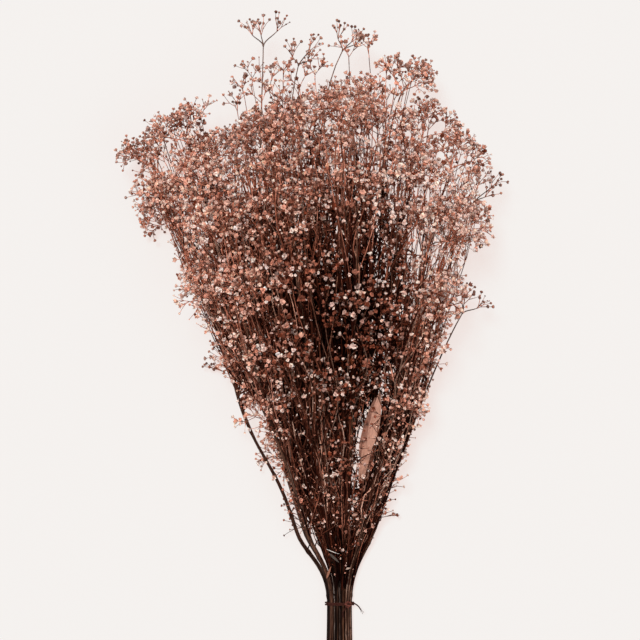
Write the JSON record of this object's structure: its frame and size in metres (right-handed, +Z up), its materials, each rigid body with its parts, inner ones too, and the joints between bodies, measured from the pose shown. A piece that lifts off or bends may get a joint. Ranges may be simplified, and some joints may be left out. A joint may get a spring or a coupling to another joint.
{
  "type": "dried gypsophila bunch",
  "caption": "A bunch of dried gypsophila lying on its side, its branching stems tied by a thread at the neck and fanned out into an airy head of small ruffled florets",
  "frame": {"origin": "bottom centre of the bunch's bounding box, on the surface that it lies on", "axes": "X across the bunch, +Y along it from the cut ends to the heads, +Z up from the surface"},
  "size_m": [0.354, 0.631, 0.169],
  "materials": {
    "dry_stem_a": "matte",
    "dry_stem_b": "matte",
    "dry_stem_c": "matte",
    "thread": "matte"
  },
  "bodies": {
    "root": {"stem_01": "dry_stem_b", "stem_02": "dry_stem_c", "stem_03": "dry_stem_a", "stem_04": "dry_stem_b", "stem_05": "dry_stem_c", "stem_06": "dry_stem_a", "stem_07": "dry_stem_b", "stem_08": "dry_stem_c", "stem_09": "dry_stem_a", "stem_10": "dry_stem_b", "stem_11": "dry_stem_c", "stem_12": "dry_stem_a", "stem_13": "dry_stem_b", "binding_thread": "thread"}
  },
  "joints": []
}
